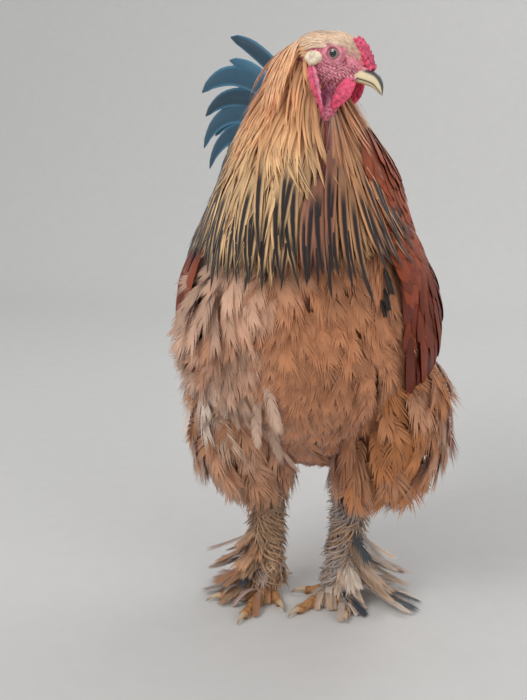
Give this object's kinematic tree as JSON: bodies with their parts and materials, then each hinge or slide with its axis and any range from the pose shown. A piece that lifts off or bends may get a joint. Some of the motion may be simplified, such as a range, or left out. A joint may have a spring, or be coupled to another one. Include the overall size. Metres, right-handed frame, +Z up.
{
  "type": "brahma chicken",
  "caption": "Life-size standing Brahma cock with pea comb, draped neck hackle, folded wings, arched tail and feathered legs, looking to its left.",
  "frame": {"origin": "on the floor, under the middle of the bird's outline seen from above", "axes": "+Z up; the bird's body faces -Y, its left side is +X, and its head is turned to its left"},
  "size_m": [0.3361, 0.4458, 0.6312],
  "materials": {
    "beak_horn": "horn, satin",
    "claw_horn": "horn, satin",
    "comb_skin": "beaded bare skin, satin",
    "earlobe_skin": "smooth bare skin, satin",
    "eye": "wet and polished",
    "toe_skin": "scaled skin with feathers",
    "face_skin": "bare wrinkled skin, satin",
    "hackle_feathers": "long silky feathers",
    "saddle_feathers": "long silky feathers",
    "leg_feathers": "soft matt feathers",
    "tail_feathers": "glossy dark feathers",
    "body_feathers": "soft matt feathers",
    "wing_feathers": "smooth satin feathers"
  },
  "bodies": {
    "root": {"beak_lower": "beak_horn", "beak_upper": "beak_horn", "claw_left_hind": "claw_horn", "claw_left_inner": "claw_horn", "claw_left_middle": "claw_horn", "claw_left_outer": "claw_horn", "claw_right_hind": "claw_horn", "claw_right_inner": "claw_horn", "claw_right_middle": "claw_horn", "claw_right_outer": "claw_horn", "comb": "comb_skin", "earlobe_left": "earlobe_skin", "earlobe_right": "earlobe_skin", "eye_left": "eye", "eye_right": "eye", "foot_left": "toe_skin", "foot_right": "toe_skin", "head": "face_skin", "lappet_left": "comb_skin", "lappet_right": "comb_skin", "neck": "hackle_feathers", "saddle": "saddle_feathers", "shank_left": "leg_feathers", "shank_right": "leg_feathers", "tail": "tail_feathers", "thigh_left": "body_feathers", "thigh_right": "body_feathers", "torso": "body_feathers", "wattle_left": "comb_skin", "wattle_right": "comb_skin", "wing_left": "wing_feathers", "wing_right": "wing_feathers"}
  },
  "joints": []
}
